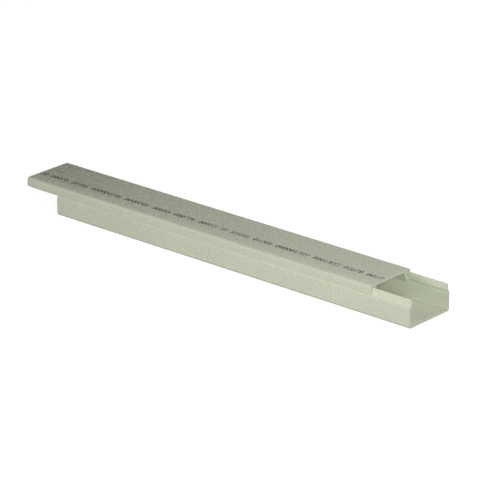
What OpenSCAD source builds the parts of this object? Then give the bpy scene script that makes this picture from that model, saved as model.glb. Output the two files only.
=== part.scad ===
// Mini trunking: a short length of solid-wall cable duct in two extruded pieces,
// a U-shaped channel and the cover that snaps over the channel's lips.
// X runs along the duct, Y across it, and Z up from the mounting face.
// The origin is the middle of the channel's underside.

/* [Duct] */
// Width over the channel's walls, and over the skirts of the cover
duct_w = 25; // [20:0.5:60]
// Height from the mounting face to the top of the cover when it is snapped on
duct_h = 13; // [10:0.5:40]
// Length to which the channel is sawn
channel_len = 190; // [60:5:400]
// Length to which the cover is sawn
cover_len = 188; // [60:1:400]
// Distance that the cover stands out past the channel's -X end
cover_overhang = 17.5; // [0:0.5:40]

/* [Channel] */
// Thickness of the side walls
wall_t = 1; // [0.8:0.1:1.2]
// Thickness of the floor
floor_t = 1; // [0.8:0.1:2]
// Outside radius of the two bottom edges
heel_r = 1.3; // [0.6:0.1:1.5]
// Inside radius where a wall meets the floor
floor_fillet_r = 0.5; // [0.2:0.1:1]

/* [Lips] */
// Depth of the edge where a wall starts to step in, below the top of the cover
snap_depth = 4.8; // [4.2:0.1:6]
// Height of the sloping shoulder between a wall and its lip
shoulder_rise = 1.2; // [1:0.1:1.4]
// Thickness of the shoulder, square to its slope
shoulder_t = 0.8; // [0.7:0.05:1]
// Thickness of a lip
lip_t = 1; // [0.8:0.1:1.1]
// Radius along the two top edges of a lip
lip_r = 0.3; // [0.1:0.05:0.35]

/* [Cover] */
// Thickness of the cover's top plate
plate_t = 1; // [0.8:0.1:1.5]
// Outside radius of the two top edges
crown_r = 1.3; // [0.6:0.1:1.5]
// Thickness of a skirt, the outer edge that comes down over a lip
skirt_t = 0.95; // [0.8:0.05:1.1]
// Height of the groove that shows between a skirt's foot and the wall below it
groove_h = 0.9; // [0.6:0.1:1.1]
// Thickness of a leg at its root under the plate
leg_t = 1.2; // [0.9:0.1:1.4]
// Distance that a leg leans outwards between its root and its neck
leg_lean = 0.85; // [0.4:0.05:1.1]
// Distance that a leg's barb reaches out behind the lip
barb_reach = 0.6; // [0.3:0.05:0.7]
// Height of the barb's lead-in slope, from its point down to the leg's tip
barb_h = 0.75; // [0.5:0.05:1]

/* [Fit] */
// Clearance between the cover and the lips
fit_gap = 0.1; // [0.05:0.01:0.15]
// Clearance above a barb, and between a skirt's bevel and the shoulder, measured upright
catch_gap = 0.2; // [0.1:0.05:0.3]
// Radius inside the top of a skirt and along its foot
die_r = 0.2; // [0.1:0.05:0.25]

/* [Hidden] */
$fn = 48;

// The channel is centred on the origin, and the cover is slid back along it.
channel_start = -channel_len / 2;
cover_start = channel_start - cover_overhang;

half_w = duct_w / 2;
wall_in = half_w - wall_t;

// A skirt hangs flush with its wall, so the lip stands in by the skirt and its clearance.
skirt_in = half_w - skirt_t;
lip_out = skirt_in - fit_gap;
lip_in = lip_out - lip_t;
plate_under = duct_h - plate_t;
lip_top = plate_under - fit_gap;

// The shoulder's two faces are parallel. Each gives its height at a distance y from the middle.
shoulder_z = duct_h - snap_depth;
shoulder_slope = shoulder_rise / (half_w - lip_out);
function shoulder_at(y) = shoulder_z + (half_w - y) * shoulder_slope;
function shoulder_under(y) = shoulder_at(y) - shoulder_t / cos(atan(shoulder_slope));

// A skirt's foot is bevelled inside, to clear the shoulder and to ride over the lip.
skirt_foot = shoulder_z + groove_h;
bevel_z = shoulder_at(skirt_in) + catch_gap;
bevel_y = half_w - (groove_h - catch_gap) / shoulder_slope;

// A leg leans out to its neck beside the lip, and its barb catches under the shoulder.
leg_out = lip_in - fit_gap;
leg_root_out = leg_out - leg_lean;
leg_root_in = leg_root_out - leg_t;
neck_z = shoulder_under(leg_out) - catch_gap;
barb_y = leg_out + barb_reach;
barb_z = shoulder_under(barb_y) - catch_gap;
tip_z = barb_z - barb_h;

// Corners are [y, z, radius] on the +Y side, anticlockwise round the section.
// Only square corners are rounded; those at a slope are left as the die cuts them.
channel_corners = [
    [half_w, 0, heel_r],
    [half_w, shoulder_z, 0],
    [lip_out, shoulder_at(lip_out), 0],
    [lip_out, lip_top, lip_r],
    [lip_in, lip_top, lip_r],
    [lip_in, shoulder_under(lip_in), 0],
    [wall_in, shoulder_under(wall_in), 0],
    [wall_in, floor_t, floor_fillet_r],
];

cover_corners = [
    [leg_root_in, plate_under, 0],
    [leg_out, tip_z, 0],
    [barb_y, barb_z, 0],
    [leg_out, neck_z, 0],
    [leg_root_out, plate_under, 0],
    [skirt_in, plate_under, die_r],
    [skirt_in, bevel_z, 0],
    [bevel_y, skirt_foot, 0],
    [half_w, skirt_foot, die_r],
    [half_w, duct_h, crown_r],
];

// The section on both sides of the middle plane, as one closed list of corners.
function both_sides(corners) = concat(
    corners,
    [for (i = [len(corners) - 1 : -1 : 0]) [-corners[i][0], corners[i][1], corners[i][2]]]
);

function point(corner) = [corner[0], corner[1]];
function unit(v) = v / norm(v);

// Directions from corner i to its two neighbours, and whether it stands out or is hollow.
function to_last(c, i) = unit(point(c[(i + len(c) - 1) % len(c)]) - point(c[i]));
function to_next(c, i) = unit(point(c[(i + 1) % len(c)]) - point(c[i]));
function is_convex(c, i) = cross(to_next(c, i), to_last(c, i)) > 0;

// The arc that rounds the square corner i: its two ends and its centre.
function arc_start(c, i) = point(c[i]) + to_last(c, i) * c[i][2];
function arc_end(c, i) = point(c[i]) + to_next(c, i) * c[i][2];
function arc_centre(c, i) = point(c[i]) + (to_last(c, i) + to_next(c, i)) * c[i][2];

module disc(c, i) {
    translate(arc_centre(c, i)) circle(r = c[i][2]);
}

// What lies outside the arc at corner i, run past the corner so that it cuts clean.
module trimming(c, i) {
    difference() {
        polygon([
            2 * point(c[i]) - arc_centre(c, i),
            arc_end(c, i),
            arc_centre(c, i),
            arc_start(c, i),
        ]);
        disc(c, i);
    }
}

// A closed section with a true arc at every corner that has a radius. A hollow corner is
// bridged straight across and a disc taken out of the bridge; the others are trimmed.
module rounded_section(c) {
    corners = [0 : len(c) - 1];
    difference() {
        polygon([
            for (i = corners)
                each (c[i][2] == 0 || is_convex(c, i)
                    ? [point(c[i])]
                    : [arc_start(c, i), arc_end(c, i)])
        ]);
        for (i = corners)
            if (c[i][2] > 0) {
                if (is_convex(c, i)) trimming(c, i);
                else disc(c, i);
            }
    }
}

// Pushes a YZ section along X from x = start.
module extruded(start, length) {
    translate([start, 0, 0])
        rotate([90, 0, 90])
            linear_extrude(height = length) children();
}

// U-shaped channel with a stepped-in lip along the top of each wall.
module base_channel() {
    color([0.75, 0.77, 0.68])
        extruded(channel_start, channel_len) rounded_section(both_sides(channel_corners));
}

// Cover: a plate with a skirt outside each lip and a barbed leg inside it.
module snap_cover() {
    color([0.66, 0.68, 0.60])
        extruded(cover_start, cover_len) rounded_section(both_sides(cover_corners));
}

base_channel();
snap_cover();
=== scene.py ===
"""Dresses a short length of two-piece mini trunking: extruded skins, printed line and stage."""

import itertools
import math
import random

import bmesh
import bpy
from bpy.props import (
    FloatProperty,
    FloatVectorProperty,
    IntProperty,
    PointerProperty,
)
from mathutils import Matrix, Vector


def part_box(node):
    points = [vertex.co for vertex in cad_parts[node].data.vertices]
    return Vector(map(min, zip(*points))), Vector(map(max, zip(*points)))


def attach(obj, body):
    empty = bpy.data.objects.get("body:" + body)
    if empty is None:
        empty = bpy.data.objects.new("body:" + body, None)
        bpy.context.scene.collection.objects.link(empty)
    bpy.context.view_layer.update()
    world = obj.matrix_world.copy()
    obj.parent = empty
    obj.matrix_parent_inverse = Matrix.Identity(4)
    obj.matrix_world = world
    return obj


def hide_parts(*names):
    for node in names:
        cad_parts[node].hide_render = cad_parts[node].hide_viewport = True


bl_info = {
    "name": "Mini Trunking",
    "version": (1, 0, 0),
    "blender": (4, 5, 0),
    "location": "View3D > Sidebar > Trunking",
    "description": "Solid-wall cable duct in two extrusions, with a printed line of length marks",
    "category": "Add Mesh",
}

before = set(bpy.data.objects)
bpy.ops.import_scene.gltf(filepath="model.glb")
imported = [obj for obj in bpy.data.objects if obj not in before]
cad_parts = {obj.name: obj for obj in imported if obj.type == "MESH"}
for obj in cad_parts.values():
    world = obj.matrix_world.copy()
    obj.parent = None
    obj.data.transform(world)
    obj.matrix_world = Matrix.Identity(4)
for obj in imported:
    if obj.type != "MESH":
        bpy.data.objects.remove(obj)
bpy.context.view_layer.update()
CHANNEL_LOW, CHANNEL_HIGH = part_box("base_channel")
COVER_LOW, COVER_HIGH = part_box("snap_cover")

MM = 0.001

# Mirrored halves join where they are nearer than MERGE, and places nearer than CLOSE are one.
MERGE = 1e-6
CLOSE = 1e-7

# Corners rounder than LARGE_RADIUS get the finer bevel.
LARGE_RADIUS = 0.9 * MM
FINE_SEGMENTS = 12
PLAIN_SEGMENTS = 5

# Edges that turn more than SHARP_ANGLE stay sharp. A sawn end is a face whose normal points
# along X by more than SQUARE_ON.
SHARP_ANGLE = math.radians(30)
SQUARE_ON = 0.99

# Where the lamps stand, in metres, and how wide they are. All face LAMP_TARGET.
LAMPS = {
    "key": ((0.50, -0.35, 0.22), 0.20),
    "front": ((-0.07, -0.30, 0.05), 0.08),
    "back": ((-0.35, 0.55, 0.06), 0.10),
    "top": ((0.10, 0.0, 0.25), 0.12),
    "rear": ((0.15, 0.50, 0.03), 0.10),
}
LAMP_TARGET = (0.02, 0.0, 0.005)
FLOOR_HALF = 3.0
SENSOR_WIDTH = 36.0
CLIP_START, CLIP_END = 0.05, 20.0

# The range in which nearly all of a noise value lies.
NOISE_LOW, NOISE_HIGH = 0.3, 0.7

# Five-by-seven dot digits, as an ink-jet coder prints them.
DOT_DIGITS = {
    "0": (" ### ", "#   #", "#  ##", "# # #", "##  #", "#   #", " ### "),
    "1": ("  #  ", " ##  ", "  #  ", "  #  ", "  #  ", "  #  ", " ### "),
    "2": (" ### ", "#   #", "    #", "   # ", "  #  ", " #   ", "#####"),
    "3": ("#####", "   # ", "  #  ", "   # ", "    #", "#   #", " ### "),
    "4": ("   # ", "  ## ", " # # ", "#  # ", "#####", "   # ", "   # "),
    "5": ("#####", "#    ", "#### ", "    #", "    #", "#   #", " ### "),
    "6": ("  ## ", " #   ", "#    ", "#### ", "#   #", "#   #", " ### "),
    "7": ("#####", "    #", "   # ", "  #  ", " #   ", " #   ", " #   "),
    "8": (" ### ", "#   #", "#   #", " ### ", "#   #", "#   #", " ### "),
    "9": (" ### ", "#   #", "#   #", " ####", "    #", "   # ", " ##  "),
}

# Columns of dots to a digit, its gap included, and digits to each mark in turn.
DIGIT_COLUMNS = 6
MIDDLE_ROW = 3
MARK_WIDTHS = (2, 5, 5, 9, 7, 5, 6, 5)

# Smallest and largest size of a dot and of a speck, as shares of the dot's radius.
DOT_SIZES = (0.8, 1.1)
SPECK_SIZES = (0.6, 1.3)

# A dot's sides, its upper radius as a share of its lower one, and its depth in ink films.
DOT_SIDES = 8
DOT_TAPER = 0.85
DOT_FILMS = 1.5

# Where the specks lie, in millimetres from the cover's end and from its far edge.
SPECKS_ALONG = (1, 12)
SPECKS_ACROSS = (2, 12)

# Start of the random draws that place the print's dots.
PRINT_SEED = 7


def length(name, description, default):
    return FloatProperty(
        name=name, description=description, default=default, unit="LENGTH", precision=5
    )


def tint(name, description, default):
    return FloatProperty(
        name=name, description=description, default=default, min=0.0, precision=3
    )


def power(name, default):
    return FloatProperty(
        name=f"{name} lamp", description=f"Power of the {name.lower()} lamp", default=default
    )


def colour(name, description, default):
    return FloatVectorProperty(
        name=name,
        description=description,
        default=default,
        size=3,
        min=0.0,
        max=1.0,
        subtype="COLOR",
    )


class TrunkingSection(bpy.types.PropertyGroup):
    """Sizes of the two extruded sections."""

    wall: length("Wall", "Thickness of the channel's side walls", 1.0 * MM)
    floor: length("Floor", "Thickness of the channel's floor", 1.0 * MM)
    heel_radius: length("Heel radius", "Outside radius of the two bottom edges", 1.3 * MM)
    floor_fillet: length("Floor fillet", "Inside radius where a wall meets the floor", 0.5 * MM)
    snap_depth: length(
        "Snap depth", "Depth below the cover's top at which a wall starts to step in", 4.8 * MM
    )
    shoulder_rise: length("Shoulder rise", "Height of the slope below a lip", 1.2 * MM)
    shoulder: length("Shoulder", "Thickness of the shoulder, square to its slope", 0.8 * MM)
    lip: length("Lip", "Thickness of a lip", 1.0 * MM)
    lip_radius: length("Lip radius", "Radius along the top edges of a lip", 0.3 * MM)
    plate: length("Plate", "Thickness of the cover's top plate", 1.0 * MM)
    crown_radius: length("Crown radius", "Outside radius of the two top edges", 1.3 * MM)
    skirt: length("Skirt", "Thickness of the cover's outer edge", 0.95 * MM)
    groove: length("Groove", "Height of the groove below a skirt's foot", 0.9 * MM)
    leg: length("Leg", "Thickness of a leg at its root", 1.2 * MM)
    leg_lean: length("Leg lean", "How far a leg leans outwards down to its neck", 0.85 * MM)
    barb_reach: length("Barb reach", "How far a barb reaches out behind its lip", 0.6 * MM)
    barb_height: length("Barb height", "Height of the barb's lead-in slope", 0.75 * MM)
    fit_gap: length("Fit gap", "Clearance between the cover and the lips", 0.1 * MM)
    catch_gap: length("Catch gap", "Upright clearance above a barb and a bevel", 0.2 * MM)
    die_radius: length("Die radius", "Radius of the corners that stand out or in", 0.2 * MM)
    point_radius: length("Point radius", "Radius of the barb's two points", 0.1 * MM)
    saw_chamfer: length("Saw chamfer", "Edge broken off round each sawn end", 0.05 * MM)


class TrunkingPrint(bpy.types.PropertyGroup):
    """Sizes of the line of length marks along the cover."""

    film: length("Ink film", "How far a dot of ink stands above the plate", 0.012 * MM)
    across: length("Across", "Distance of the line's middle from the near edge", 8.4 * MM)
    drift: length("Drift", "How much further across the line's far end stands", 0.9 * MM)
    dot_radius: length("Dot radius", "Radius of one dot of ink", 0.25 * MM)
    dot_rise: length("Dot rise", "Distance between dots up a digit", 0.34 * MM)
    dot_step: length("Dot step", "Distance between dots along the line", 0.32 * MM)
    mark_gap: length("Mark gap", "Bare distance between two marks", 2.2 * MM)
    first_mark: length("First mark", "Distance of the first mark from the cover's end", 1.0 * MM)
    last_gap: length("Last gap", "Bare distance before the cover's other end", 0.5 * MM)
    stray: length("Stray", "How far a dot strays from its place", 0.03 * MM)
    missing: FloatProperty(
        name="Missing dots",
        description="Share of the dots that the nozzle skipped",
        default=0.08,
        min=0.0,
        max=1.0,
        subtype="FACTOR",
    )
    specks: IntProperty(
        name="Specks", description="Stray specks of ink near the cover's end", default=14, min=0
    )


class TrunkingFinish(bpy.types.PropertyGroup):
    """Colours of the plastic, the ink and the stage."""

    channel: colour("Channel", "Colour of the channel's plastic", (0.520, 0.550, 0.434))
    cover: colour("Cover", "Colour of the cover's plastic", (0.515, 0.548, 0.430))
    ink: colour("Ink", "Colour of the printed line", (0.012, 0.012, 0.011))
    worn_ink: colour("Worn ink", "Colour of the line where it has worn", (0.05, 0.053, 0.043))
    floor: colour("Floor", "Colour of the studio floor", (0.55, 0.55, 0.55))


class TrunkingWear(bpy.types.PropertyGroup):
    """How pale or dark the plastic is in each place, as a share of its colour: cleaner faces and
    blotches, and painted light and shade.
    """

    # Paler: cleaner plastic, and painted light on the inside of the channel and on the lips.
    covered: tint("Covered", "Faces that the two pieces keep covered", 1.11)
    # Painted shade on the top: darkest at the end that stands out, paler towards the far end;
    # also on the channel's back.
    held_end: tint("Held end", "Top of the cover, at the end that stands out", 0.745)
    top: tint("Top", "Rest of the cover's top, and the channel's back", 0.88)
    top_rise: tint("Top rise", "How much paler still the far end of the top is", 1.07)
    # Painted shade on the near rounded edge beside the flat face, darkest where it meets the
    # side.
    edge_high: tint("High edge", "Near edge, where it meets the flat face", 1.01)
    edge_low: tint("Low edge", "Near edge, where it meets the side", 0.84)
    # Painted shade in the inside corners of the floor.
    corners: tint("Corners", "Inside corners of the channel's floor", 0.96)
    # Painted light: the inside of the channel paler away from its ends.
    inside: tint("Inside", "Inside of the channel, away from its ends", 1.22)
    # Painted light on the shaded slopes under the lips.
    under_lips: tint("Under lips", "Slopes under the lips", 1.25)
    # Painted light on the shaded slopes that show below the skirts.
    notches: tint("Notches", "Slopes that show below the skirts", 1.12)
    # How far the darkest painted shade at that end reaches.
    held_length: length("Held length", "How far the held end reaches", 50 * MM)
    blotched: length("Blotched", "How far from that end its blotches fade out", 150 * MM)
    # Where the painted light inside the channel begins, and where it is fullest.
    pale_from: length("Pale from", "Where the channel's inside starts to pale", 20 * MM)
    pale_to: length("Pale to", "How far from its ends it is palest", 60 * MM)


class TrunkingStage(bpy.types.PropertyGroup):
    """Camera and lamps."""

    azimuth: FloatProperty(
        name="Azimuth",
        description="Turn of the camera round the trunking, from looking along +Y",
        default=math.radians(41.522),
        subtype="ANGLE",
    )
    elevation: FloatProperty(
        name="Elevation",
        description="Height of the camera above the horizon",
        default=math.radians(21.422),
        subtype="ANGLE",
    )
    roll: FloatProperty(
        name="Roll",
        description="Turn of the camera about its own line of sight",
        default=math.radians(-0.297),
        subtype="ANGLE",
    )
    distance: length("Distance", "From the camera to the origin, along the view", 1.250586)
    pan: length("Pan", "How far the camera stands to its right of the origin", 0.001838)
    rise: length("Rise", "How far the camera stands above the origin", 0.004511)
    lens: FloatProperty(
        name="Lens", description="Focal length on a 36 mm sensor, in millimetres", default=221.637
    )
    world: FloatProperty(name="Sky", description="Strength of the even sky light", default=0.1)
    key: power("Key", 2.92)
    front: power("Front", 0.322)
    back: power("Back", 0.93)
    top: power("Top", 0.152)
    rear: power("Rear", 1.1)
    glow: FloatProperty(
        name="Floor glow", description="Light that the camera sees in the floor", default=0.92
    )
    faint: FloatProperty(
        name="Floor shade", description="Share of the lamps' light added to it", default=0.30
    )


# ---------------------------------------------------------------- sections


def channel_corners(s):
    """(y, z, radius) from the middle of the underside to the middle of the floor, +Y side."""
    half = CHANNEL_HIGH.y
    lip_out = half - s.skirt - s.fit_gap
    lip_in = lip_out - s.lip
    lip_top = CHANNEL_HIGH.z
    shoulder_z = COVER_HIGH.z - s.snap_depth
    slope = s.shoulder_rise / (half - lip_out)
    drop = s.shoulder / math.cos(math.atan(slope))

    def shoulder_at(y):
        return shoulder_z + (half - y) * slope

    return [
        (0.0, CHANNEL_LOW.z, 0.0),
        (half, CHANNEL_LOW.z, s.heel_radius),
        (half, shoulder_z, s.die_radius),
        (lip_out, shoulder_at(lip_out), s.die_radius),
        (lip_out, lip_top, s.lip_radius),
        (lip_in, lip_top, s.lip_radius),
        (lip_in, shoulder_at(lip_in) - drop, s.die_radius),
        (half - s.wall, shoulder_at(half - s.wall) - drop, s.die_radius),
        (half - s.wall, s.floor, s.floor_fillet),
        (0.0, s.floor, 0.0),
    ]


def cover_corners(s, film):
    """(y, z, radius) from the middle of the plate's underside to the middle of its top."""
    half = COVER_HIGH.y
    top = COVER_HIGH.z - film
    under = COVER_HIGH.z - s.plate
    skirt_in = half - s.skirt
    lip_out = skirt_in - s.fit_gap
    leg_out = lip_out - s.lip - s.fit_gap
    root_out = leg_out - s.leg_lean
    shoulder_z = COVER_HIGH.z - s.snap_depth
    slope = s.shoulder_rise / (half - lip_out)
    drop = s.shoulder / math.cos(math.atan(slope))
    foot = shoulder_z + s.groove
    barb = leg_out + s.barb_reach

    def shoulder_at(y):
        return shoulder_z + (half - y) * slope

    neck_z = shoulder_at(leg_out) - drop - s.catch_gap
    barb_z = shoulder_at(barb) - drop - s.catch_gap
    return [
        (0.0, under, 0.0),
        (root_out - s.leg, under, s.die_radius),
        (leg_out, barb_z - s.barb_height, s.point_radius),
        (barb, barb_z, s.point_radius),
        (leg_out, neck_z, s.die_radius),
        (root_out, under, s.die_radius),
        (skirt_in, under, s.die_radius),
        (skirt_in, shoulder_at(skirt_in) + s.catch_gap, s.die_radius),
        (half - (s.groove - s.catch_gap) / slope, foot, s.point_radius),
        (half, foot, s.die_radius),
        (half, top, s.crown_radius),
        (0.0, top, 0.0),
    ]


def vertices_at(bm, y, z):
    """The one or two vertices at height z that stand y from the middle plane."""
    return [
        v for v in bm.verts if abs(abs(v.co.y) - abs(y)) < CLOSE and abs(v.co.z - z) < CLOSE
    ]


def half_angle(corners, i):
    """Half the angle between the two sides that meet at corner i."""
    here = Vector(corners[i][:2])
    last = Vector(corners[i - 1][:2]) - here
    following = Vector(corners[(i + 1) % len(corners)][:2]) - here
    return last.angle(following) / 2


def extrusion(name, corners, low_x, high_x, chamfer):
    """A solid of the mirrored section between two X positions, with broken sawn edges."""
    bm = bmesh.new()
    x = low_x + chamfer
    half_line = [bm.verts.new((x, y, z)) for y, z, _ in corners]
    for a, b in zip(half_line, half_line[1:]):
        bm.edges.new((a, b))
    bmesh.ops.mirror(bm, geom=bm.verts[:] + bm.edges[:], axis="Y", merge_dist=MERGE)
    bmesh.ops.remove_doubles(bm, verts=bm.verts[:], dist=CLOSE)
    bmesh.ops.contextual_create(bm, geom=bm.edges[:])
    for i, (y, z, radius) in enumerate(corners):
        if radius <= 0:
            continue
        bmesh.ops.bevel(
            bm,
            geom=vertices_at(bm, y, z),
            offset=radius / math.tan(half_angle(corners, i)),
            offset_type="OFFSET",
            segments=FINE_SEGMENTS if radius > LARGE_RADIUS else PLAIN_SEGMENTS,
            profile=0.5,
            affect="VERTICES",
            material=-1,
        )
    bmesh.ops.dissolve_verts(bm, verts=[v for v in bm.verts if abs(v.co.y) < CLOSE])
    pushed = bmesh.ops.extrude_face_region(bm, geom=bm.faces[:])["geom"]
    bmesh.ops.translate(
        bm,
        verts=[v for v in pushed if isinstance(v, bmesh.types.BMVert)],
        vec=(high_x - low_x - 2 * chamfer, 0, 0),
    )
    bmesh.ops.recalc_face_normals(bm, faces=bm.faces[:])
    for end in (-1, 1):
        cap = [f for f in bm.faces if f.normal.x * end > SQUARE_ON]
        bmesh.ops.inset_region(bm, faces=cap, thickness=chamfer, depth=chamfer)
    for face in bm.faces:
        face.smooth = True
    for edge in bm.edges:
        edge.smooth = edge.calc_face_angle(0.0) < SHARP_ANGLE
    return piece_from(name, bm)


def piece_from(name, bm):
    """Turns a bmesh into an object at the origin and links it."""
    mesh = bpy.data.meshes.new(name)
    bm.to_mesh(mesh)
    bm.free()
    obj = bpy.data.objects.new(name, mesh)
    bpy.context.scene.collection.objects.link(obj)
    return obj


def keep_flats_flat(obj):
    """Lets the large flat faces rule the shading where they run into a rounded edge."""
    weighted = obj.modifiers.new("Flat faces first", "WEIGHTED_NORMAL")
    weighted.mode = "FACE_AREA"
    weighted.weight = 50
    weighted.keep_sharp = True


# ---------------------------------------------------------------- printed line


def mark_text(left, width):
    """Distance along the cover in tenths of a millimetre, in the given number of digits."""
    tenths = round((left - COVER_LOW.x) / MM * 10)
    return str(tenths)[-width:].zfill(width)


def dots_of(text):
    """(column, row) of each dot in a mark, digit by digit from its top left."""
    for place, digit in enumerate(text):
        for row, dots in enumerate(DOT_DIGITS[digit]):
            for column, dot in enumerate(dots):
                if dot != " ":
                    yield place * DIGIT_COLUMNS + column, row


def ink_dot(bm, x, y, radius, film):
    """A low disc that stands a film above the plate and is sunk half as far into it."""
    depth = DOT_FILMS * film
    bmesh.ops.create_cone(
        bm,
        cap_ends=True,
        cap_tris=False,
        segments=DOT_SIDES,
        radius1=radius,
        radius2=radius * DOT_TAPER,
        depth=depth,
        matrix=Matrix.Translation((x, y, COVER_HIGH.z - depth / 2)),
    )


# ---------------------------------------------------------------- materials


def node(tree, kind, **settings):
    """A new node with its settings."""
    made = tree.nodes.new(kind)
    for key, value in settings.items():
        setattr(made, key, value)
    return made


def noise(tree, coordinates, scale, stretch=(1, 1, 1), detail=2.0, roughness=0.5):
    """A noise value in 0 to 1 on object coordinates; scale is in cycles a metre."""
    mapping = node(tree, "ShaderNodeMapping")
    mapping.inputs["Scale"].default_value = stretch
    tree.links.new(coordinates, mapping.inputs["Vector"])
    texture = node(tree, "ShaderNodeTexNoise")
    texture.inputs["Scale"].default_value = scale
    texture.inputs["Detail"].default_value = detail
    texture.inputs["Roughness"].default_value = roughness
    tree.links.new(mapping.outputs["Vector"], texture.inputs["Vector"])
    return texture.outputs["Fac"]


def spread(tree, value, low, high, to_low, to_high):
    """Maps low..high to to_low..to_high, clamped."""
    mapped = node(tree, "ShaderNodeMapRange", clamp=True)
    for socket, number in zip(
        ("From Min", "From Max", "To Min", "To Max"), (low, high, to_low, to_high)
    ):
        mapped.inputs[socket].default_value = number
    tree.links.new(value, mapped.inputs["Value"])
    return mapped.outputs["Result"]


def rise(tree, value, low, high):
    """0 below low, 1 above high."""
    return spread(tree, value, low, high, 0.0, 1.0)


def fall(tree, value, low, high):
    """1 below low, 0 above high."""
    return spread(tree, value, low, high, 1.0, 0.0)


def varied(tree, noise_value, to_low, to_high):
    """Spreads a noise value over to_low..to_high."""
    return spread(tree, noise_value, NOISE_LOW, NOISE_HIGH, to_low, to_high)


def math_node(tree, operation, a, b=0.0):
    """The result of an operation on one or two values or numbers."""
    made = node(tree, "ShaderNodeMath", operation=operation)
    for socket, value in zip(made.inputs, (a, b)):
        if isinstance(value, (int, float)):
            socket.default_value = value
        else:
            tree.links.new(value, socket)
    return made.outputs["Value"]


def product(tree, *values):
    """All the values multiplied together."""
    result = values[0]
    for value in values[1:]:
        result = math_node(tree, "MULTIPLY", result, value)
    return result


def height_from(tree, at, z):
    """Distance above or below height z."""
    return math_node(tree, "ABSOLUTE", math_node(tree, "SUBTRACT", at.outputs["Z"], z))


def blend_colours(tree, factor, a, b, mode="MIX"):
    """Colour a at factor 0 and b at factor 1, or a times b where mode is MULTIPLY."""
    made = node(tree, "ShaderNodeMix", data_type="RGBA", blend_type=mode)
    for socket, value in ((made.inputs[0], factor), (made.inputs[6], a), (made.inputs[7], b)):
        if isinstance(value, bpy.types.NodeSocket):
            tree.links.new(value, socket)
        else:
            socket.default_value = value
    return made.outputs[2]


def blend_numbers(tree, factor, a, b):
    """Value a at factor 0 and b at factor 1."""
    made = node(tree, "ShaderNodeMix", data_type="FLOAT")
    for socket, value in zip((made.inputs[0], made.inputs[2], made.inputs[3]), (factor, a, b)):
        if isinstance(value, bpy.types.NodeSocket):
            tree.links.new(value, socket)
        else:
            socket.default_value = value
    return made.outputs[0]


def shade(base, gain):
    """A colour made paler or darker, with its alpha."""
    return (*[min(1.0, c * gain) for c in base], 1.0)


def tinted(tree, tone, gain):
    """The colour times a grey value."""
    grey = node(tree, "ShaderNodeCombineColor")
    for channel in ("Red", "Green", "Blue"):
        tree.links.new(gain, grey.inputs[channel])
    return blend_colours(tree, 1.0, tone, grey.outputs["Color"], "MULTIPLY")


def extruded_plastic(name, base, section, tone_and_painted_light, skin_z):
    """Matt filled plastic, drawn lengthwise by the die and sawn across at its ends.

    The flat face at height skin_z carries painted shade, darkest at the end that stands out and
    on its near rounded edge, and is grainy and blotched. The faces that the two pieces keep
    covered are cleaner, and painted light makes the inside of the channel and its lips paler.
    """
    material = bpy.data.materials.new(name)
    material.use_nodes = True
    tree = material.node_tree
    shader = tree.nodes["Principled BSDF"]
    where = node(tree, "ShaderNodeTexCoord")
    place = where.outputs["Object"]
    at = node(tree, "ShaderNodeSeparateXYZ")
    tree.links.new(place, at.inputs["Vector"])
    facing = node(tree, "ShaderNodeSeparateXYZ")
    tree.links.new(where.outputs["Normal"], facing.inputs["Vector"])

    clouds = noise(tree, place, 60, stretch=(0.4, 1, 1), detail=3)
    grain = noise(tree, place, 1300, detail=2, roughness=0.7)
    streaks = noise(tree, place, 1, stretch=(9, 1500, 1500), detail=2)
    saw_lines = noise(tree, place, 1, stretch=(1, 700, 5200), detail=3, roughness=0.6)
    sawn = rise(tree, math_node(tree, "ABSOLUTE", facing.outputs["X"]), 0.5, 0.6)

    tone = blend_colours(
        tree, varied(tree, clouds, 0, 1), shade(base, 0.965), shade(base, 1.035)
    )
    # Random tone and die streaks, then cleaner faces with painted light, painted shade on the
    # flat face with its grain and blotches, and painted light and shade inside.
    for gain in (
        varied(tree, grain, 0.90, 1.10),
        varied(tree, streaks, 0.985, 1.015),
        covered_faces(tree, at, section, tone_and_painted_light, skin_z),
        handled_skin(tree, place, at, grain, section, tone_and_painted_light, skin_z),
        inside_walls(tree, at, section, tone_and_painted_light),
    ):
        tone = tinted(tree, tone, gain)
    sawn_tone = blend_colours(
        tree, rise(tree, saw_lines, 0.35, 0.65), shade(base, 0.90), shade(base, 0.98)
    )
    tone = blend_colours(tree, sawn, tone, sawn_tone)
    tree.links.new(tone, shader.inputs["Base Color"])

    rough = varied(tree, clouds, 0.72, 0.82)
    rough = math_node(tree, "ADD", rough, varied(tree, streaks, -0.03, 0.03))
    rough = math_node(tree, "ADD", rough, product(tree, sawn, 0.13))
    tree.links.new(rough, shader.inputs["Roughness"])

    skin = math_node(tree, "ADD", streaks, product(tree, grain, 0.6))
    bump = node(tree, "ShaderNodeBump")
    bump.inputs["Strength"].default_value = 0.5
    bump.inputs["Distance"].default_value = 0.02 * MM
    tree.links.new(
        blend_numbers(tree, sawn, skin, product(tree, saw_lines, 4.0)), bump.inputs["Height"]
    )
    tree.links.new(bump.outputs["Normal"], shader.inputs["Normal"])

    shader.inputs["IOR"].default_value = 1.5
    shader.inputs["Specular IOR Level"].default_value = 0.25
    return material


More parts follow.
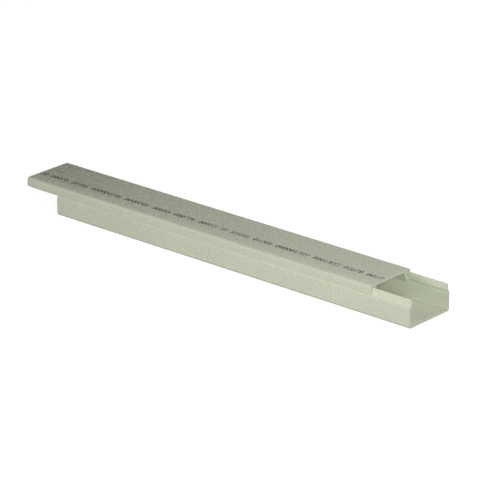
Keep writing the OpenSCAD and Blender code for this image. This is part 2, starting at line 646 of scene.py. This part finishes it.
def covered_faces(tree, at, section, tone_and_painted_light, skin_z):
    """Grey for the faces between and under the pieces: paler as cleaner plastic on which no dust
    settles, and with painted light on the inside of the channel and on the lips.
    """
    across = math_node(tree, "ABSOLUTE", at.outputs["Y"])
    face = CHANNEL_HIGH.y - section.skirt
    within = product(
        tree,
        fall(tree, across, face + 0.04 * MM, face + 0.08 * MM),
        rise(tree, height_from(tree, at, skin_z), 0.3 * MM, 0.5 * MM),
    )
    shoulder_z = COVER_HIGH.z - section.snap_depth
    lips = product(
        tree,
        rise(tree, at.outputs["Z"], shoulder_z + 0.6 * MM, shoulder_z + 1.4 * MM),
        fall(tree, across, CHANNEL_HIGH.y - 0.1 * MM, CHANNEL_HIGH.y),
    )
    # Cleaner faces, with painted light inside the channel and on the lips.
    covered = math_node(tree, "MAXIMUM", within, lips)
    return spread(tree, covered, 0, 1, 1.0, tone_and_painted_light.covered)


def handled_skin(tree, place, at, grain, section, tone_and_painted_light, skin_z):
    """Grey for the flat face at height skin_z and the rounded edges beside it.

    Painted shade darkens it away from its near edge, most at the end that stands out and least at
    the far end, and darkens the outer part of its near rounded edge. Its grain is coarse, and it
    is blotched near that end.
    """
    x, y = at.outputs["X"], at.outputs["Y"]
    end, side = COVER_LOW.x, COVER_LOW.y
    # Painted shade along the top, darkest at the end that stands out.
    shaded = product(
        tree,
        spread(tree, x, end, end + tone_and_painted_light.held_length, tone_and_painted_light.held_end, tone_and_painted_light.top),
        spread(tree, x, end, COVER_HIGH.x, 1.0, tone_and_painted_light.top_rise),
    )
    # Painted shade on the near rounded edge, darkest where it meets the side.
    edge = spread(
        tree, y, side + 0.4 * MM, side + section.crown_radius, tone_and_painted_light.edge_low, tone_and_painted_light.edge_high
    )
    shading = blend_numbers(tree, rise(tree, y, side + 1.5 * MM, side + 7.5 * MM), edge, shaded)

    blots = noise(tree, place, 620, stretch=(1, 0.6, 1), detail=2, roughness=0.6)
    blotted = fall(tree, x, end, end + tone_and_painted_light.blotched)
    coarse = product(
        tree,
        varied(tree, grain, 0.86, 1.14),
        blend_numbers(tree, blotted, 1.0, varied(tree, blots, 0.80, 1.20)),
    )
    depth = height_from(tree, at, skin_z)
    on_edges = fall(tree, depth, 0.02 * MM, section.crown_radius)
    on_flat = fall(tree, depth, 0.02 * MM, 0.1 * MM)
    return product(
        tree,
        blend_numbers(tree, on_edges, 1.0, shading),
        blend_numbers(tree, on_flat, 1.0, coarse),
    )


def inside_walls(tree, at, section, tone_and_painted_light):
    """Grey for the inside of the channel: painted shade in the corners of its floor, and painted
    light that makes it paler away from its ends.

    Painted light makes the slopes under each lip and below each skirt paler too.
    """
    x, z = at.outputs["X"], at.outputs["Z"]
    across = math_node(tree, "ABSOLUTE", at.outputs["Y"])
    wall_in = CHANNEL_HIGH.y - section.wall
    shoulder_z = COVER_HIGH.z - section.snap_depth
    within = product(
        tree,
        fall(tree, across, wall_in + 0.05 * MM, wall_in + 0.1 * MM),
        fall(tree, z, shoulder_z - 0.1 * MM, shoulder_z),
    )
    # Painted shade in the floor's inside corners.
    corners = product(
        tree,
        within,
        rise(tree, across, wall_in - 1.0 * MM, wall_in - 0.2 * MM),
        fall(tree, z, section.floor + 0.2 * MM, section.floor + 1.0 * MM),
    )
    # Painted light on the slopes under the lips.
    under_lips = product(
        tree,
        fall(tree, across, wall_in - 0.06 * MM, wall_in - 0.02 * MM),
        rise(tree, across, wall_in - 1.1 * MM, wall_in - 1.0 * MM),
        rise(tree, z, shoulder_z - 0.05 * MM, shoulder_z + 0.05 * MM),
        fall(tree, z, shoulder_z + 1.1 * MM, shoulder_z + 1.2 * MM),
    )
    # Painted light on the slopes below the skirts.
    notches = product(
        tree,
        rise(tree, across, wall_in, wall_in + 0.05 * MM),
        rise(tree, z, shoulder_z - 0.1 * MM, shoulder_z),
        fall(tree, z, shoulder_z + 1.0 * MM, shoulder_z + 1.1 * MM),
        fall(tree, x, COVER_HIGH.x - 0.2 * MM, COVER_HIGH.x),
    )
    # Painted light: paler away from the channel's ends.
    from_end = math_node(tree, "SUBTRACT", CHANNEL_HIGH.x, math_node(tree, "ABSOLUTE", x))
    paler = spread(tree, from_end, tone_and_painted_light.pale_from, tone_and_painted_light.pale_to, 1.0, tone_and_painted_light.inside)
    return product(
        tree,
        spread(tree, corners, 0, 1, 1.0, tone_and_painted_light.corners),
        spread(tree, notches, 0, 1, 1.0, tone_and_painted_light.notches),
        spread(tree, under_lips, 0, 1, 1.0, tone_and_painted_light.under_lips),
        blend_numbers(tree, within, 1.0, paler),
    )


def coder_ink(name, base, worn_base):
    """Thin black ink: patchy, so that some dots let the plastic show through."""
    material = bpy.data.materials.new(name)
    material.use_nodes = True
    tree = material.node_tree
    shader = tree.nodes["Principled BSDF"]
    place = node(tree, "ShaderNodeTexCoord").outputs["Object"]
    patches = noise(tree, place, 700, detail=3, roughness=0.7)
    fade = noise(tree, place, 40, stretch=(1, 0.2, 1), detail=2)
    worn = product(
        tree, rise(tree, patches, 0.4, 0.7), spread(tree, fade, 0.45, 0.7, 0.0, 0.8)
    )
    tone = blend_colours(tree, worn, (*base, 1.0), (*worn_base, 1.0))
    tree.links.new(tone, shader.inputs["Base Color"])
    tree.links.new(varied(tree, patches, 0.7, 0.85), shader.inputs["Roughness"])
    shader.inputs["Specular IOR Level"].default_value = 0.1
    return material


def studio_floor(name, base, glow_strength, faint_grey):
    """White floor for the camera that still takes the object's shadow."""
    material = bpy.data.materials.new(name)
    material.use_nodes = True
    tree = material.node_tree
    tree.nodes.remove(tree.nodes["Principled BSDF"])
    lit = node(tree, "ShaderNodeBsdfDiffuse")
    lit.inputs["Color"].default_value = (*base, 1.0)
    faint = node(tree, "ShaderNodeBsdfDiffuse")
    faint.inputs["Color"].default_value = (faint_grey, faint_grey, faint_grey, 1.0)
    glow = node(tree, "ShaderNodeEmission")
    glow.inputs["Strength"].default_value = glow_strength
    seen = node(tree, "ShaderNodeAddShader")
    tree.links.new(faint.outputs[0], seen.inputs[0])
    tree.links.new(glow.outputs[0], seen.inputs[1])
    rays = seen_rays(tree)
    mix = node(tree, "ShaderNodeMixShader")
    tree.links.new(rays, mix.inputs[0])
    tree.links.new(lit.outputs[0], mix.inputs[1])
    tree.links.new(seen.outputs[0], mix.inputs[2])
    tree.links.new(mix.outputs[0], tree.nodes["Material Output"].inputs["Surface"])
    return material


def seen_rays(tree):
    """1 for rays that show the background: to the camera, in a gloss, or through glass."""
    path = node(tree, "ShaderNodeLightPath")
    seen = math_node(
        tree, "MAXIMUM", path.outputs["Is Camera Ray"], path.outputs["Is Glossy Ray"]
    )
    return math_node(tree, "MAXIMUM", seen, path.outputs["Is Transmission Ray"])


# ---------------------------------------------------------------- operators


class TRUNKING_OT_base_channel(bpy.types.Operator):
    """Extrude the channel and lay it in the place of its plain solid"""

    bl_idname = "trunking.base_channel"
    bl_label = "Base Channel"

    def execute(self, context):
        s = context.scene.trunking_section
        finish, tone_and_painted_light = context.scene.trunking_finish, context.scene.trunking_wear
        obj = extrusion(
            "channel_extrusion", channel_corners(s), CHANNEL_LOW.x, CHANNEL_HIGH.x, s.saw_chamfer
        )
        obj.data.materials.append(
            extruded_plastic("channel plastic", finish.channel, s, tone_and_painted_light, CHANNEL_LOW.z)
        )
        keep_flats_flat(obj)
        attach(obj, "channel")
        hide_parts("base_channel")
        return {"FINISHED"}


class TRUNKING_OT_snap_cover(bpy.types.Operator):
    """Extrude the cover and lay it in the place of its plain solid"""

    bl_idname = "trunking.snap_cover"
    bl_label = "Snap Cover"

    def execute(self, context):
        s = context.scene.trunking_section
        finish, tone_and_painted_light = context.scene.trunking_finish, context.scene.trunking_wear
        film = context.scene.trunking_print.film
        obj = extrusion(
            "cover_extrusion", cover_corners(s, film), COVER_LOW.x, COVER_HIGH.x, s.saw_chamfer
        )
        obj.data.materials.append(
            extruded_plastic("cover plastic", finish.cover, s, tone_and_painted_light, COVER_HIGH.z)
        )
        keep_flats_flat(obj)
        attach(obj, "cover")
        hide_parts("snap_cover")
        return {"FINISHED"}


class TRUNKING_OT_length_marks(bpy.types.Operator):
    """Print the line of dot-matrix length marks along the cover"""

    bl_idname = "trunking.length_marks"
    bl_label = "Length Marks"

    def execute(self, context):
        p = context.scene.trunking_print
        finish = context.scene.trunking_finish
        chance = random.Random(PRINT_SEED)
        bm = bmesh.new()
        left = COVER_LOW.x + p.first_mark
        last_x = COVER_HIGH.x - p.last_gap
        slope = p.drift / (COVER_HIGH.x - COVER_LOW.x)
        start_y = COVER_LOW.y + p.across - p.drift / 2
        for width in itertools.cycle(MARK_WIDTHS):
            if left > last_x:
                break
            for column, row in dots_of(mark_text(left, width)):
                if chance.random() < p.missing:
                    continue
                x = left + column * p.dot_step
                if x > last_x:
                    continue
                y = start_y + (x - COVER_LOW.x) * slope + (MIDDLE_ROW - row) * p.dot_rise
                radius = p.dot_radius * chance.uniform(*DOT_SIZES)
                ink_dot(
                    bm, x + chance.gauss(0, p.stray), y + chance.gauss(0, p.stray), radius, p.film
                )
            left += width * DIGIT_COLUMNS * p.dot_step + p.mark_gap
        for _ in range(p.specks):
            x = COVER_LOW.x + chance.uniform(*SPECKS_ALONG) * MM
            y = COVER_HIGH.y - chance.uniform(*SPECKS_ACROSS) * MM
            ink_dot(bm, x, y, p.dot_radius * chance.uniform(*SPECK_SIZES), p.film)
        obj = piece_from("length_marks", bm)
        obj.data.materials.append(coder_ink("coder ink", finish.ink, finish.worn_ink))
        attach(obj, "cover")
        return {"FINISHED"}


class TRUNKING_OT_stage(bpy.types.Operator):
    """Set up the floor, the sky, the lamps and the camera"""

    bl_idname = "trunking.stage"
    bl_label = "Stage"

    def execute(self, context):
        st = context.scene.trunking_stage
        colour_of_floor = context.scene.trunking_finish.floor
        bm = bmesh.new()
        bmesh.ops.create_grid(bm, x_segments=1, y_segments=1, size=FLOOR_HALF)
        floor = piece_from("studio_floor", bm)
        floor.data.materials.append(
            studio_floor("studio floor", colour_of_floor, st.glow, st.faint)
        )
        for name, (place, size) in LAMPS.items():
            lamp(f"{name} lamp", place, size, getattr(st, name))
        sky(context.scene, st.world)
        camera(context.scene, st)
        return {"FINISHED"}


def lamp(name, place, size, watts):
    """A square soft lamp that faces the middle of the trunking."""
    data = bpy.data.lights.new(name, "AREA")
    data.shape = "SQUARE"
    data.size = size
    data.energy = watts
    obj = bpy.data.objects.new(name, data)
    obj.location = place
    aim = Vector(LAMP_TARGET) - Vector(place)
    obj.rotation_euler = aim.to_track_quat("-Z", "Y").to_euler()
    obj.visible_camera = False
    bpy.context.scene.collection.objects.link(obj)


def sky(scene, strength):
    """An even grey light all round that the camera sees as white."""
    world = bpy.data.worlds.new("studio")
    scene.world = world
    world.use_nodes = True
    tree = world.node_tree
    background = tree.nodes["Background"]
    background.inputs["Color"].default_value = (1.0, 1.0, 1.0, 1.0)
    tree.links.new(
        spread(tree, seen_rays(tree), 0.0, 1.0, strength, 1.0), background.inputs["Strength"]
    )


def camera(scene, st):
    """A long lens that looks along the trunking from its open end."""
    a, e, r = st.azimuth, st.elevation, st.roll
    back = Vector((math.sin(a) * math.cos(e), -math.cos(a) * math.cos(e), math.sin(e)))
    level = Vector((math.cos(a), math.sin(a), 0.0))
    upright = back.cross(level)
    right = level * math.cos(r) + upright * math.sin(r)
    up = upright * math.cos(r) - level * math.sin(r)
    data = bpy.data.cameras.new("camera")
    data.sensor_width = SENSOR_WIDTH
    data.lens = st.lens
    data.clip_start, data.clip_end = CLIP_START, CLIP_END
    obj = bpy.data.objects.new("camera", data)
    turn = Matrix((right, up, back)).transposed().to_4x4()
    obj.matrix_world = Matrix.Translation(
        back * st.distance + right * st.pan + up * st.rise
    ) @ turn
    scene.collection.objects.link(obj)
    scene.camera = obj


class TRUNKING_PT_sidebar(bpy.types.Panel):
    """Buttons and sizes for the trunking"""

    bl_idname = "TRUNKING_PT_sidebar"
    bl_label = "Mini Trunking"
    bl_space_type = "VIEW_3D"
    bl_region_type = "UI"
    bl_category = "Trunking"

    def draw(self, context):
        for step in STEPS:
            self.layout.operator(step.bl_idname)
        for group, _ in GROUPS:
            settings = getattr(context.scene, group)
            box = self.layout.box()
            for key in settings.__annotations__:
                box.prop(settings, key)


STEPS = (
    TRUNKING_OT_base_channel,
    TRUNKING_OT_snap_cover,
    TRUNKING_OT_length_marks,
    TRUNKING_OT_stage,
)
GROUPS = (
    ("trunking_section", TrunkingSection),
    ("trunking_print", TrunkingPrint),
    ("trunking_finish", TrunkingFinish),
    ("trunking_wear", TrunkingWear),
    ("trunking_stage", TrunkingStage),
)
CLASSES = tuple(kind for _, kind in GROUPS) + STEPS + (TRUNKING_PT_sidebar,)


def register():
    for kind in CLASSES:
        bpy.utils.register_class(kind)
    for group, kind in GROUPS:
        setattr(bpy.types.Scene, group, PointerProperty(type=kind))


def unregister():
    for group, _ in GROUPS:
        delattr(bpy.types.Scene, group)
    for kind in reversed(CLASSES):
        bpy.utils.unregister_class(kind)


def main():
    register()
    bpy.context.scene.view_settings.view_transform = "Standard"
    bpy.ops.trunking.base_channel()
    bpy.ops.trunking.snap_cover()
    bpy.ops.trunking.length_marks()
    bpy.ops.trunking.stage()


if __name__ == "__main__":
    main()
